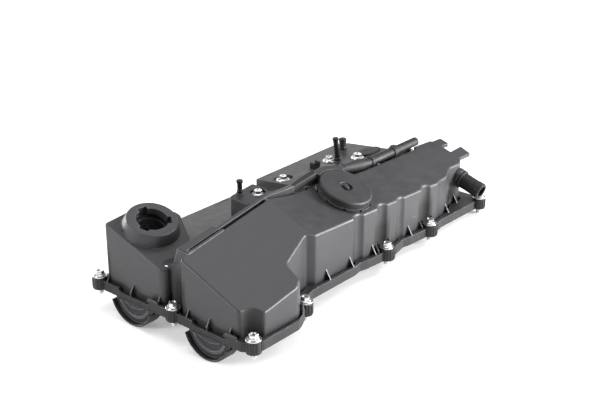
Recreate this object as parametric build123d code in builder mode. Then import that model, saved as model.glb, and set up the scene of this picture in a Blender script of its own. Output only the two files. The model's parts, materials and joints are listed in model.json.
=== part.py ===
from build123d import *
import os
from math import sqrt, radians, cos, sin, tan, atan2, degrees

os.makedirs("parts", exist_ok=True)

# ---------------------------------------------------------------- driving dimensions (mm)
wall = 3.0                 # moulded wall thickness
rail_h = 11.5              # height of the outer lip of the flange rail
rail_floor = 6.0           # floor of the gutter between lip and wall
gutter_w = 3.2             # width of that gutter
wall_near_y = -91.0        # outer face of the near wall
crease_x = -92.7           # where the two top panels of the dome meet

boss_r = 8.8               # bolt boss
boss_h = 14.2
bolt_pts = [(-239.9, 111.4), (-238.7, -11.2), (-233.4, -126.9), (-133.3, -113.7), (40.7, -98.4),
            (134.0, -98.4), (250.5, -99.5), (-130.0, 117.5), (-40.0, 117.5), (50.0, 117.5),
            (140.0, 117.5), (221.0, 107.0), (228.0, 34.0)]
wide_boss_r = 10.4         # the two bosses of the near rail
wide_bosses = [(40.7, -98.4), (134.0, -98.4)]

moon_y = [50.0, -70.0]     # centres of the two half-moon camshaft plugs
moon_r = 34.5
moon_zc = 8.5
moon_x0, moon_x1 = -242.5, -229.0

well_pts = [(-120.0, 3.0), (-29.0, 3.0), (62.0, 3.0), (153.0, 3.0)]   # ignition coil wells
well_bore_r = 14.0
well_out_r = 17.0

neck_base = (-198.4, 64.7, 75.3)      # oil filler neck, foot of its axis on the box top
neck_h = 14.0
neck_bore_r = 19.0
neck_top_r = 28.8
neck_foot_r = 35.0
guide_bore_r = 16.8        # guide tube under the neck
slot_angle = 112.0

valve_x, valve_y = 9.5, -53.5         # crankcase pressure valve, on the rear top panel
cap_r = 33.7
button_angle = 61.0        # direction of the oblong button on the cap
cap_h = 10.0


def z_front(x, y):         # front top panel of the dome
    return 126.2 + 0.17 * x + 0.40 * y


def z_rear(x, y):          # rear top panel of the dome
    return 105.8 - 0.05 * x + 0.40 * y


def z_box(x, y):           # sloping top of the filler box
    return 84.0 + 0.335 * (y - 98.9) + 0.075 * (x + 234.0)


def deck_low(x, y):
    return 47.0 + 0.12 * (105.0 - y)


def deck_high(x, y):
    return 56.5 + 0.12 * (105.0 - y) + 0.012 * (x - 27.0)


def level(f, drop=0.0):
    """Plane lying on the height function f, moved down its normal by drop."""
    sx, sy = f(1, 0) - f(0, 0), f(0, 1) - f(0, 0)
    n = Vector(-sx, -sy, 1).normalized()
    o = Vector(0, 0, f(0, 0)) - n * drop
    return Plane(origin=o, z_dir=n)


# ---------------------------------------------------------------- plan outlines
# each corner: x, y, corner radius
dome_pts = [(-236.5, -20.5, 6), (-236.5, -126.5, 1), (-161.0, -126.5, 10), (-150.0, -121.0, 6), (-146.0, -98.0, 8),
            (-98.0, -84.0, 6), (-88.0, -91.0, 6), (160.0, -91.0, 20), (168.0, -89.0, 30), (186.0, -87.5, 12),
            (209.0, -77.0, 12), (240.0, -77.0, 8), (240.0, -26.5, 6), (80.0, -30.5, 100),
            (-58.0, -25.5, 30), (-87.0, -20.5, 30)]
flutes = [(-233.4, -126.9, 17.0), (40.7, -98.4, 12.0), (134.0, -98.4, 12.0),
          (-7.0, -101.0, 14.0), (78.0, -102.3, 14.0)]
box_pts = [(-236.5, 101.5, 4), (-236.5, 4.0, 9), (-224.0, 4.0, 3), (-176.0, 21.0, 6), (-152.5, 63.0, 8), (-153.5, 70.0, 8), (-172.0, 101.5, 8)]
deck_pts = [(-226.0, 99.0, 1), (-226.0, 7.0, 1), (-224.0, -24.0, 1), (206.0, -32.0, 1), (206.0, 93.0, 10),
            (195.0, 106.0, 10), (-150.0, 106.0, 8), (-158.0, 99.0, 8)]
rail_pts = [(-242.5, 114.0, 6), (-242.5, -118.0, 8), (-227.0, -133.0, 10), (-166.0, -133.0, 12), (-146.0, -124.0, 8),
            (-121.0, -103.0, 8), (-102.0, -98.5, 12), (-21.0, -98.5, 12), (-10.0, -96.2, 8), (2.0, -98.7, 12),
            (25.0, -100.8, 30), (57.0, -101.2, 20), (68.0, -98.6, 10), (79.0, -96.2, 8), (91.0, -98.8, 12),
            (120.0, -100.6, 30), (150.0, -100.6, 20), (163.0, -98.2, 12), (235.0, -99.5, 30), (259.0, -99.5, 8), (259.0, -14.0, 8),
            (224.0, -8.0, 8), (224.0, 112.0, 8), (150.0, 114.0, 60)]
well_lo = -13.0            # valley of the coil wells, near side
well_hi = 22.0             # and far side
well_floor = 47.0


def outline(pts):
    FilletPolyline(*[p[:2] for p in pts], radius=[p[2] for p in pts], close=True)


def at(vertices, *points):
    """The vertices nearest to the given plan points."""
    return ShapeList([min(vertices, key=lambda v: (v.X - px) ** 2 + (v.Y - py) ** 2) for px, py in points])


def tops_of(part, above, slope=0.7):
    return part.faces().filter_by(lambda f: f.center().Z > above and f.normal_at().Z > slope)


def rim_of(faces):
    """Edges that belong to only one of the given faces."""
    es = [e for f in faces for e in f.edges()]
    return ShapeList([e for e in es if sum(1 for o in es if (o.center() - e.center()).length < 1e-4) == 1])


with BuildSketch() as dome_plan:
    with BuildLine():
        outline(dome_pts)
    make_face()
    for fx, fy, fr in flutes:
        with Locations((fx, fy)):
            Circle(fr, mode=Mode.SUBTRACT)
    fillet(at(dome_plan.vertices(), (-236.5, -110.2), (-216.7, -126.5)), 4.5)
    for fx, fy, fr in flutes[1:]:
        dx = sqrt(fr ** 2 - (wall_near_y - fy) ** 2)
        fillet(at(dome_plan.vertices(), (fx - dx, wall_near_y), (fx + dx, wall_near_y)), 5.0)

with BuildSketch() as box_plan:
    with BuildLine():
        outline(box_pts)
    make_face()

with BuildSketch() as deck_plan:
    with BuildLine():
        outline(deck_pts)
    make_face()

with BuildSketch() as wall_plan:
    add(dome_plan.sketch)
    add(box_plan.sketch)
    add(deck_plan.sketch)

with BuildSketch() as rail_plan:
    with BuildLine():
        outline(rail_pts)
    make_face()

# ---------------------------------------------------------------- solid blocks of the cover
with BuildPart() as dome_front:
    add(dome_plan.sketch)
    extrude(amount=160)
    split(bisect_by=Plane(origin=(crease_x, 0, 0), z_dir=(1, 0, 0)), keep=Keep.BOTTOM)
    split(bisect_by=level(z_front), keep=Keep.BOTTOM)
    seam = [e for e in rim_of(tops_of(dome_front.part, 40))
            if not (abs(e.position_at(0).X - crease_x) < 1e-3 and abs(e.position_at(1).X - crease_x) < 1e-3)]
    fillet(seam, 3.2)

with BuildPart() as dome_rear:
    add(dome_plan.sketch)
    extrude(amount=160)
    split(bisect_by=Plane(origin=(crease_x, 0, 0), z_dir=(1, 0, 0)), keep=Keep.TOP)
    split(bisect_by=level(z_rear), keep=Keep.BOTTOM)
    seam = [e for e in rim_of(tops_of(dome_rear.part, 40))
            if not (abs(e.position_at(0).X - crease_x) < 1e-3 and abs(e.position_at(1).X - crease_x) < 1e-3)]
    fillet(seam, 3.2)

with BuildPart() as box_block:
    add(box_plan.sketch)
    extrude(amount=120)
    split(bisect_by=level(z_box), keep=Keep.BOTTOM)
    fillet(rim_of(tops_of(box_block.part, 40)), 2.2)

with BuildPart() as deck_block:
    add(deck_plan.sketch)
    extrude(amount=100)
    split(bisect_by=level(deck_high), keep=Keep.BOTTOM)
    with BuildSketch(Plane.YZ.offset(-230)) as low_cut:
        with BuildLine():
            Polyline((-40, deck_low(0, -40)), (110, deck_low(0, 110)), (110, 110), (-40, 110), close=True)
        make_face()
    extrude(amount=230 + 27, mode=Mode.SUBTRACT)
    with BuildSketch(Plane.XY.offset(well_floor)):
        with Locations(((-152 + 205) / 2, (well_lo + well_hi) / 2)):
            RectangleRounded(357, well_hi - well_lo, 6)
    extrude(amount=60, mode=Mode.SUBTRACT)
    with BuildSketch(Plane.XY.offset(deck_high(44, 74) - 2.6)):
        with Locations((44, 74)):
            SlotOverall(30, 23)
    extrude(amount=20, mode=Mode.SUBTRACT)

with BuildPart() as tower_block:
    with BuildSketch():
        with Locations((-71, 25)):
            RectangleRounded(42, 32, 3.5)
    extrude(amount=120)
    split(bisect_by=level(lambda x, y: 87.5 + 0.10 * (x + 92) + 0.07 * (y - 41)), keep=Keep.BOTTOM)
    fillet(rim_of(tops_of(tower_block.part, 40)), 1.6)

with BuildPart() as spine_block:
    with BuildSketch():
        with Locations((-196, -8)):
            Rectangle(56, 32)
    extrude(amount=130)
    split(bisect_by=level(lambda x, y: 117.6 + 0.17 * x), keep=Keep.BOTTOM)
    split(bisect_by=level(lambda x, y: 80.0 - 2.7 * (y + 6) + 0.17 * (x + 224)), keep=Keep.BOTTOM)
    spine_front = spine_block.faces().sort_by(Axis.X)[0]
    fillet([e for e in spine_front.edges() if e.center().Z > 62 and abs((e % 0.5).Z) < 0.98], 2.6)

# ---------------------------------------------------------------- inner cavity blocks
with BuildSketch() as dome_in:
    offset(dome_plan.sketch, amount=-wall, kind=Kind.INTERSECTION)
with BuildSketch() as box_in:
    offset(box_plan.sketch, amount=-wall, kind=Kind.INTERSECTION)
with BuildSketch() as deck_in:
    with BuildLine():
        Polyline((-228, 97), (-228, 10), (-221, 4), (-221, -28), (203, -34), (203, 91.8), (193.6, 103), (-152, 103), (-154, 97), close=True)
    make_face()

with BuildPart() as cavity:
    add(dome_in.sketch)
    extrude(amount=160)
    split(bisect_by=level(z_front, wall), keep=Keep.BOTTOM)
    split(bisect_by=level(z_rear, wall), keep=Keep.BOTTOM)

with BuildPart() as box_cavity:
    add(box_in.sketch)
    extrude(amount=120)
    split(bisect_by=level(z_box, wall), keep=Keep.BOTTOM)

with BuildPart() as deck_cavity:
    add(deck_in.sketch)
    extrude(amount=100)
    split(bisect_by=level(deck_low, wall), keep=Keep.BOTTOM)
    with BuildSketch(Plane.XY.offset(well_floor - wall)):
        with Locations(((-155 + 208) / 2, (well_lo + well_hi) / 2)):
            Rectangle(363, well_hi - well_lo + 6)
    extrude(amount=60, mode=Mode.SUBTRACT)
    # partition between the valve space of the dome and the deck side
    with BuildSketch():
        with Locations((0, -25.5)):
            Rectangle(600, 3.0)
    extrude(amount=22, mode=Mode.SUBTRACT)

with BuildPart() as high_cavity:
    with BuildSketch() as hc:
        with BuildLine():
            Polyline((30, 25), (203, 25), (203, 91.8), (193.6, 103), (30, 103), close=True)
        make_face()
    extrude(amount=100)
    split(bisect_by=level(deck_high, wall), keep=Keep.BOTTOM)
    with Locations((44, 74, deck_high(44, 74) - 2.6 - wall)):
        Cylinder(20, 20, align=(Align.CENTER, Align.CENTER, Align.MIN), mode=Mode.SUBTRACT)

valve_plane = Plane(origin=(valve_x, valve_y, z_rear(valve_x, valve_y)), z_dir=level(z_rear).z_dir)
valve_sketch_plane = Plane(origin=valve_plane.origin, x_dir=(1, 0, -0.05), z_dir=valve_plane.z_dir)
neck_plane = Plane(origin=neck_base, z_dir=level(z_box).z_dir)
pipe_dir = Vector(0, -0.953, -0.302).normalized()
pipe_plane = Plane(origin=(231.5, -76.0, 44.8), z_dir=pipe_dir, x_dir=(1, 0, 0))

# prongs of the top panel over the rear wall: plan outline
prong_pts = [(196.0, -26.5), (234.0, -26.6), (237.0, -28.6), (256.5, -28.3), (258.8, -39.4), (257.0, -41.0),
             (244.6, -39.6), (241.8, -41.6), (243.4, -54.6), (272.0, -52.4), (272.0, -67.8), (245.8, -68.4),
             (237.0, -75.0), (211.0, -75.0), (196.0, -76.0)]
gussets = [(-226.5, -105.5, 208), (-214.5, -125.0, 62), (-149.5, -123.5, 22), (-124.0, -93.5, 262), (-68.0, -92.0, 270), (-24.0, -92.0, 270), (20.5, -92.0, 270),
           (27.5, -91.5, 270), (54.0, -91.5, 270), (96.0, -92.0, 270), (121.0, -91.5, 270), (147.5, -91.5, 270), (186.0, -88.0, 270), (221.0, -78.0, 270),
           (-236.0, 97.0, 180), (-236.0, 56.0, 180), (-236.0, 12.0, 180), (-236.0, -34.0, 180), (-236.0, -66.0, 180), (-236.0, -98.0, 180),
           (-118.0, 105.5, 90), (-52.0, 105.5, 90), (-28.0, 105.5, 90), (38.0, 105.5, 90), (62.0, 105.5, 90), (128.0, 105.5, 90), (152.0, 105.5, 90),
           (205.5, 22.0, 0), (205.5, 46.0, 0), (205.5, 80.0, 0), (239.5, -40.0, 0), (239.5, -66.0, 0)]
pillars = [(-195.0, -72.0), (-112.0, -52.0), (-50.0, -62.0), (72.0, -60.0), (140.0, -60.0), (212.0, -52.0)]
baffle_z = 27.0            # underside of the separator baffle
inner_bolts_pts = [(-62.0, 21.5, 87.5 + 0.10 * 30 - 0.07 * 19.5 - 4.0), (44.0, 74.0, deck_high(44, 74) - 2.6),
                   (127.0, 63.5, deck_high(127, 63.5) + 0.6), (153.0, 35.5, deck_high(153, 35.5) + 0.6)]

clip_x, clip_y = 94.3, 61.4
stud_spec = [              # name, x, y, z of the foot, foot, neck and head radius, height
    ("front_ball_stud", -78.2, 36.2, 87.5 + 0.10 * 13.8 - 0.07 * 4.8, 3.6, 3.1, 4.2, 16.5),
    ("rear_ball_stud", 134.0, 54.6, deck_high(134.0, 54.6), 4.4, 3.6, 4.3, 32.5),
    ("rubber_stud", 177.6, 80.6, deck_high(177.6, 80.6), 5.6, 5.0, 5.5, 15.8)]

with BuildPart() as gusset_ribs:
    for gx, gy, ga in gussets:
        gp = Plane(origin=(gx, gy, 0), x_dir=(cos(radians(ga)), sin(radians(ga)), 0), z_dir=(sin(radians(ga)), -cos(radians(ga)), 0))
        with BuildSketch(gp):
            with BuildLine():
                Polyline((-1.5, 2.0), (5.6, 2.0), (6.2, rail_h - 0.4), (-1.5, 24.0), close=True)
            make_face()
        extrude(amount=0.85, both=True)

with BuildPart() as valve_housing:
    with BuildSketch(valve_plane.offset(-12)):
        Circle(32.4)
    extrude(amount=14)

with BuildPart() as prongs:
    with BuildSketch():
        with BuildLine():
            Polyline(*prong_pts, close=True)
        make_face()
    extrude(amount=130)
    split(bisect_by=level(z_rear), keep=Keep.BOTTOM)
    split(bisect_by=level(z_rear, 4.2), keep=Keep.TOP)

with BuildPart() as neck:
    with BuildSketch(neck_plane.offset(-3)) as n0:
        Circle(neck_foot_r + 0.8)
    with BuildSketch(neck_plane.offset(neck_h)) as n1:
        Circle(neck_top_r + 1.0)
    loft()
    fillet(neck.edges().filter_by(GeomType.CIRCLE).sort_by(Axis.Z)[-1], 1.4)

with BuildPart() as inner_walls:
    # tubes of the coil wells
    with BuildSketch():
        with Locations(*well_pts):
            Circle(well_out_r)
    extrude(amount=well_floor + 4.5)
    # cups of the bolts that pass through the deck
    for px, py, pz in inner_bolts_pts:
        with Locations((px, py, 0)):
            Cylinder(7.0, pz - 0.6, align=(Align.CENTER, Align.CENTER, Align.MIN))
    # guide tube under the filler neck, with a splash plate on three posts
    with BuildSketch(neck_plane.offset(-9.0)):
        Circle(guide_bore_r + 2.8)
    extrude(amount=9.0)
    with BuildSketch(neck_plane.offset(-20.0)):
        Circle(guide_bore_r + 2.8)
    extrude(amount=3.0)
    with BuildSketch(neck_plane.offset(-18.0)):
        with PolarLocations(guide_bore_r + 1.6, 3, start_angle=40):
            Rectangle(2.2, 5.0)
    extrude(amount=10.0)
    # screw pillars for the separator baffle
    for px, py in pillars:
        zt = min(z_front(px, py), z_rear(px, py)) - 2.0
        with Locations((px, py, baffle_z + 2.5)):
            Cylinder(4.5, zt - baffle_z - 2.5, align=(Align.CENTER, Align.CENTER, Align.MIN))

valve_floor = -15.0        # floor of the valve chamber below the panel
chamber_r = 27.0
seat_r, seat_bore = 8.5, 5.8

with BuildPart() as valve_cup:
    with BuildSketch(valve_plane.offset(valve_floor - 3.0)):
        Circle(chamber_r + 3.0)
    extrude(amount=-valve_floor + 3.0)

with BuildPart() as valve_void:
    with BuildSketch(valve_plane.offset(valve_floor)):
        Circle(chamber_r)
        Circle(seat_r, mode=Mode.SUBTRACT)
    extrude(amount=-valve_floor + 4.0)
    with BuildSketch(valve_plane.offset(-5.0)):
        Circle(seat_r + 0.5)
    extrude(amount=9.0)
    with BuildSketch(valve_plane.offset(valve_floor - 8.0)):
        Circle(seat_bore)
    extrude(amount=30)
    with BuildSketch(valve_plane.offset(valve_floor - 8.0)):
        with PolarLocations(19.0, 3, start_angle=20):
            Circle(3.5)
    extrude(amount=12)

with BuildPart() as inner_holes:
    # bores of the coil wells with their seal grooves
    with BuildSketch(Plane.XY.offset(-5)):
        with Locations(*well_pts):
            Circle(well_bore_r)
    extrude(amount=5 + well_floor + 6)
    with BuildSketch(Plane.XY.offset(-5)):
        with Locations(*well_pts):
            Circle(15.6)
    extrude(amount=5 + 3.6)
    # bolt bores
    with BuildSketch(Plane.XY.offset(-5)):
        with Locations(*bolt_pts):
            Circle(6.6)
    extrude(amount=40)
    # gasket groove
    with BuildSketch(Plane.XY.offset(-5)):
        offset(wall_plan.sketch, amount=4.1, kind=Kind.ARC)
        offset(wall_plan.sketch, amount=0.7, kind=Kind.ARC, mode=Mode.SUBTRACT)
        for my in moon_y:
            with Locations((-240, my)):
                Rectangle(16, 68.8, mode=Mode.SUBTRACT)
    extrude(amount=5 + 3.2)
    # screw holes in the pillars
    with BuildSketch(Plane.XY.offset(baffle_z)):
        with Locations(*pillars):
            Circle(1.6)
    extrude(amount=14)
    # holes of the inner bolts
    for px, py, pz in inner_bolts_pts:
        with Locations((px, py, -5)):
            Cylinder(3.4, pz + 5, align=(Align.CENTER, Align.CENTER, Align.MIN))
        with Locations((px, py, pz)):
            Cylinder(9.6, 30, align=(Align.CENTER, Align.CENTER, Align.MIN))
    # filler bore with three bayonet slots and a ledge below them
    with BuildSketch(neck_plane.offset(-16.0)):
        Circle(guide_bore_r)
    extrude(amount=46)
    with BuildSketch(neck_plane.offset(0.6)):
        Circle(neck_bore_r)
        with PolarLocations(neck_bore_r - 1.0, 3, start_angle=slot_angle):
            Rectangle(9.0, 12.0)
    extrude(amount=33.4)
    with BuildSketch(neck_plane.offset(0.6)):
        Circle(neck_bore_r + 3.4)
    extrude(amount=4.9)
    # breather bore through the near rear wall
    with BuildSketch(pipe_plane.offset(-8)):
        Circle(9.0)
    extrude(amount=20)

# rail beside the ridge, and the breather passage that runs round the back of the valve
with BuildPart() as ridge_rail:
    with BuildSketch():
        with BuildLine():
            Polyline((-175, -17.2), (-88, -17.2), (-60, -21.8), (-46, -22.6), (-46, -15.4), (-59, -14.6), (-87, -11.8), (-175, -11.8), close=True)
        make_face()
    extrude(amount=120)
    split(bisect_by=level(lambda x, y: 117.6 + 0.17 * x), keep=Keep.BOTTOM)
    split(bisect_by=level(lambda x, y: 104.3 + 0.015 * x), keep=Keep.BOTTOM)
    fillet(rim_of(tops_of(ridge_rail.part, 70)), 1.0)
    # web that ties the rail to the dome at the crease
    with BuildSketch(Plane.XY.offset(60)):
        with Locations((crease_x - 0.3, -19.4)):
            Rectangle(3.6, 7.2)
    extrude(amount=40.6)

with BuildPart() as passage:
    with BuildSketch(valve_sketch_plane.offset(-9)):
        Circle(43.5)
        Circle(34.2, mode=Mode.SUBTRACT)
        with BuildLine():
            Polyline((0, 0), (90 * cos(radians(48)), 90 * sin(radians(48))), (0, 120), (90 * cos(radians(118)), 90 * sin(radians(118))), close=True)
        make_face(mode=Mode.INTERSECT)
    extrude(amount=20.5)
    fillet(passage.edges().filter_by(GeomType.CIRCLE).filter_by(
        lambda e: e.radius > 40 and abs(valve_sketch_plane.to_local_coords(e.center()).Z - 11.5) < 0.01), 2.2)
    with BuildSketch(Plane.XY.offset(60)):
        with Locations((valve_x + 2, valve_y + 31)):
            Rectangle(40, 20)
    extrude(amount=30.3)

tube_pts = [(46.0, -21.2, 97.2), (96.0, -23.6, 91.0), (144.0, -22.6, 90.2), (206.0, -20.6, 89.0)]
tube_r = 6.0
tube_start = Vector(*tube_pts[0]) + (Vector(*tube_pts[1]) - Vector(*tube_pts[0])).normalized() * 31.0

with BuildPart() as tube_saddles:
    for sx in (112.0, 186.0):
        sz = 91.0 - 0.8 * (sx - 96) / 48 if sx < 144 else 90.2 - 1.2 * (sx - 144) / 62
        with Locations((sx, -23.0, 58.0)):
            Box(5, 15, sz - tube_r + 2.5 - 58.0, align=(Align.CENTER, Align.CENTER, Align.MIN))

with BuildPart() as outer_cuts:
    # room of the breather tube in its saddles
    with BuildLine(mode=Mode.PRIVATE) as tube_line:
        FilletPolyline(tube_start, *tube_pts[1:], radius=60)
    with BuildSketch(Plane(origin=tube_line.line @ 0, z_dir=tube_line.line % 0)):
        Circle(tube_r + 0.02)
    sweep(path=tube_line.line)
    # room of the valve cap
    with BuildSketch(valve_plane.offset(2.0)):
        Circle(cap_r + 0.45)
    extrude(amount=30)
    with BuildSketch(valve_plane.offset(0.0)):
        Circle(cap_r + 0.45)
        Circle(32.4, mode=Mode.SUBTRACT)
    extrude(amount=4)
    # oval recess of the deck cover, near the rear edge
    with BuildSketch(Plane(origin=(182.5, 38.5, deck_high(182.5, 38.5) - 3.0), x_dir=(1, 0, 0.012), z_dir=level(deck_high).z_dir)):
        Ellipse(21.5, 12.5)
    extrude(amount=12)
    # groove between ridge and spine
    with BuildSketch(Plane.XZ.offset(17.3)):
        with BuildLine():
            Polyline((-220, 117.6 - 0.17 * 220 - 4.5), (-160, 117.6 - 0.17 * 160 - 4.5), (-160, 120), (-220, 120), close=True)
        make_face()
    extrude(amount=3.3)

# ---------------------------------------------------------------- the moulded cover
with BuildPart() as cover_shell:
    add(rail_plan.sketch)
    extrude(amount=rail_h)
    with BuildSketch(Plane.XY.offset(rail_floor)):
        offset(wall_plan.sketch, amount=gutter_w, kind=Kind.ARC)
        add(wall_plan.sketch, mode=Mode.SUBTRACT)
    extrude(amount=20, mode=Mode.SUBTRACT)
    # the rail dips over each half-moon
    with BuildSketch(Plane.YZ.offset(-244)):
        for my in moon_y:
            with Locations((my, rail_h + 1.6)):
                SlotOverall(54, 12.5)
    extrude(amount=7.4, mode=Mode.SUBTRACT)
    # bolt bosses and their ears
    with BuildSketch():
        with Locations(*bolt_pts):
            Circle(boss_r)
        with Locations(*wide_bosses):
            Circle(wide_boss_r)
    extrude(amount=boss_h)
    with BuildSketch():
        for bx, by, ex, ey in ((-130, 112, 30, 9), (-40, 112, 30, 9), (50, 112, 30, 9), (140, 112, 30, 9)):
            with Locations((bx, by)):
                Rectangle(ex, ey)
        with Locations((225, 34)):
            Rectangle(9, 28)
    extrude(amount=rail_floor)
    add(gusset_ribs.part)
    # blocks
    add(deck_block.part)
    add(box_block.part)
    add(spine_block.part)
    add(tower_block.part)
    add(dome_front.part)
    add(dome_rear.part)
    # half-moon plugs under the front rail
    for my in moon_y:
        with BuildSketch(Plane.YZ.offset(moon_x0)):
            with Locations((my, moon_zc)):
                Circle(moon_r - 2.6)
            with Locations((my, 6.0 + 42.0)):
                Rectangle(120, 84, mode=Mode.SUBTRACT)
        extrude(amount=moon_x1 - moon_x0)
        # two curved lips on its front
        with BuildSketch(Plane.YZ.offset(-243.5)):
            with Locations((my, moon_zc)):
                Circle(26.4)
                Circle(24.0, mode=Mode.SUBTRACT)
            with Locations((my, 26.5)):
                Circle(32.0)
            with Locations((my, 50.0)):
                Rectangle(120, 100, mode=Mode.SUBTRACT)
        extrude(amount=3)
        # recess for the ends of its seal
        with BuildSketch(Plane.YZ.offset(-240.7)):
            with Locations((my, moon_zc)):
                Circle(moon_r + 0.15)
                Circle(moon_r - 2.6, mode=Mode.SUBTRACT)
            with Locations((my, 50.55)):
                Rectangle(120, 100, mode=Mode.SUBTRACT)
        extrude(amount=10.6, mode=Mode.SUBTRACT)
        # raised lip beside it
        with BuildSketch(Plane.YZ.offset(-242.5)):
            with BuildLine():
                Polyline((my - 20.5, rail_h - 2.0), (my - 23.5, rail_h + 3.0), (my - 26.0, rail_h + 3.8), (my - 36.5, rail_h + 3.8), (my - 39.0, rail_h + 3.0), (my - 41.5, rail_h - 2.0), close=True)
            make_face()
        extrude(amount=1.8)
    add(valve_housing.part)
    add(ridge_rail.part)
    add(passage.part)
    add(tube_saddles.part)
    # prongs of the top panel over the rear wall
    add(prongs.part)
    # filler neck, conical outside
    add(neck.part)
    # raised seats of the two rear inner bolts and the pads of the studs
    with Locations((127, 63.5, deck_high(127, 63.5) - 2.6), (153, 35.5, deck_high(153, 35.5) - 2.6)):
        Cylinder(9.0, 3.2, align=(Align.CENTER, Align.CENTER, Align.MIN))
    for name, px, py, pz, rf, rn, rh, h in stud_spec:
        with Locations((px, py, pz - 2.4)):
            Cylinder(rf + 1.0, 3.3, align=(Align.CENTER, Align.CENTER, Align.MIN))
    with BuildSketch(Plane.XY.offset(deck_high(clip_x, clip_y) - 2.4)):
        with Locations((clip_x, clip_y)):
            Rectangle(14, 10)
    extrude(amount=3.3)
    with BuildSketch(Plane.XY.offset(deck_high(215.0, 18.3) - 30)):
        with Locations((210.5, 18.3)):
            SlotOverall(11, 7)
    extrude(amount=33.5)
    # boss of the breather nipple
    with BuildSketch(pipe_plane.offset(-2)):
        Circle(12.6)
    extrude(amount=7.0)
    # inside of the cover
    add(cavity.part, mode=Mode.SUBTRACT)
    add(box_cavity.part, mode=Mode.SUBTRACT)
    add(deck_cavity.part, mode=Mode.SUBTRACT)
    add(high_cavity.part, mode=Mode.SUBTRACT)
    # coil wells, pillars for the baffle, columns of the inner bolts
    add(inner_walls.part)
    add(valve_cup.part)
    add(valve_void.part, mode=Mode.SUBTRACT)
    add(inner_holes.part, mode=Mode.SUBTRACT)
    add(outer_cuts.part, mode=Mode.SUBTRACT)
    cover_shell.part.label = "cover_shell"
print("shell", cover_shell.part.volume, cover_shell.part.is_valid, len(cover_shell.part.solids()))
export_step(cover_shell.part, "parts/cover_shell.step")


# ---------------------------------------------------------------- gasket and seals
with BuildPart() as perimeter_gasket:
    with BuildSketch(Plane.XY.offset(-0.8)):
        offset(wall_plan.sketch, amount=4.0, kind=Kind.ARC)
        offset(wall_plan.sketch, amount=0.8, kind=Kind.ARC, mode=Mode.SUBTRACT)
        for my in moon_y:
            with Locations((-240, my)):
                Rectangle(16, 69.0, mode=Mode.SUBTRACT)
    extrude(amount=0.8 + 3.1)
    perimeter_gasket.part.label = "perimeter_gasket"
export_step(perimeter_gasket.part, "parts/perimeter_gasket.step")

with BuildPart() as moon_seals:
    for my in moon_y:
        with BuildSketch(Plane.YZ.offset(-240.6)):
            with Locations((my, moon_zc)):
                Circle(moon_r)
                Circle(moon_r - 2.55, mode=Mode.SUBTRACT)
            with Locations((my, 50.45)):
                Rectangle(120, 100, mode=Mode.SUBTRACT)
        extrude(amount=10.4)
        # lip that stands out in front of the half-moon
        with BuildSketch(Plane.YZ.offset(-248.2)):
            with Locations((my, moon_zc)):
                Circle(moon_r)
                Circle(moon_r - 2.55, mode=Mode.SUBTRACT)
            with Locations((my, 47.0)):
                Rectangle(120, 100, mode=Mode.SUBTRACT)
        extrude(amount=8.0)
    chamfer(moon_seals.edges().filter_by(lambda e: e.center().X < -248.1 and e.length > 20), 0.7)
    moon_seals.part.label = "moon_seals"
export_step(moon_seals.part, "parts/moon_seals.step")
print("gasket", len(perimeter_gasket.part.solids()))

for n, (wx, wy) in enumerate(well_pts, 1):
    with BuildPart() as coil_well_seal:
        with BuildSketch(Plane(origin=(wx, wy, 0), x_dir=(1, 0, 0), z_dir=(0, -1, 0))):
            with BuildLine():
                Polyline((12.6, 0.2), (13.4, -0.8), (15.5, -0.8), (15.5, 3.5), (14.2, 3.5), (13.4, 2.4), (12.6, 3.0), close=True)
            make_face()
        revolve(axis=Axis((wx, wy, 0), (0, 0, 1)))
        coil_well_seal.part.label = f"coil_well_seal_{n}"
    export_step(coil_well_seal.part, f"parts/coil_well_seal_{n}.step")

# ---------------------------------------------------------------- fasteners round the flange
washer_z = boss_h + 1.0
washer_t = 1.1


def bolt_profile(base, tip):
    """Half section of a flanged bolt standing on height base."""
    Polyline((0, tip), (2.2, tip), (2.95, tip + 1.0), (2.95, base - 2.0), (3.05, base - 1.0), (3.05, base), (7.0, base),
             (7.0, base + 0.9), (5.6, base + 1.9), (0, base + 1.9), close=True)


def bolt_at(px, py, base, tip, turn):
    with BuildPart() as one:
        with BuildSketch(Plane(origin=(px, py, 0), x_dir=(1, 0, 0), z_dir=(0, -1, 0))):
            with BuildLine():
                bolt_profile(base, tip)
            make_face()
        revolve(axis=Axis((px, py, 0), (0, 0, 1)))
        with BuildSketch(Plane.XY.offset(base + 1.0)):
            with Locations((px, py)):
                RegularPolygon(5.4, 6, rotation=turn)
        extrude(amount=4.6)
        chamfer(one.faces().sort_by(Axis.Z)[-1].edges(), 0.55)
        with BuildSketch(Plane.XY.offset(base + 5.6)):
            with Locations((px, py)):
                Circle(3.1)
        extrude(amount=-0.9, mode=Mode.SUBTRACT)
    return one.part


turns = [12, 41, 7, 33, 52, 22, 3, 17, 46, 28, 9, 38, 14]
flange_bolts = Compound(label="flange_bolts", children=[
    bolt_at(bx, by, washer_z + washer_t, -8.0, tn) for (bx, by), tn in zip(bolt_pts, turns)])
export_step(flange_bolts, "parts/flange_bolts.step")

with BuildPart() as bolt_washers:
    with BuildSketch(Plane.XY.offset(washer_z)):
        with Locations(*bolt_pts):
            Circle(9.0)
            Circle(3.15, mode=Mode.SUBTRACT)
    extrude(amount=washer_t)
    chamfer(bolt_washers.edges().filter_by(GeomType.CIRCLE).filter_by(lambda e: e.radius > 8 and e.center().Z > washer_z + 0.5), 0.4)
    bolt_washers.part.label = "bolt_washers"
export_step(bolt_washers.part, "parts/bolt_washers.step")

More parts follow.
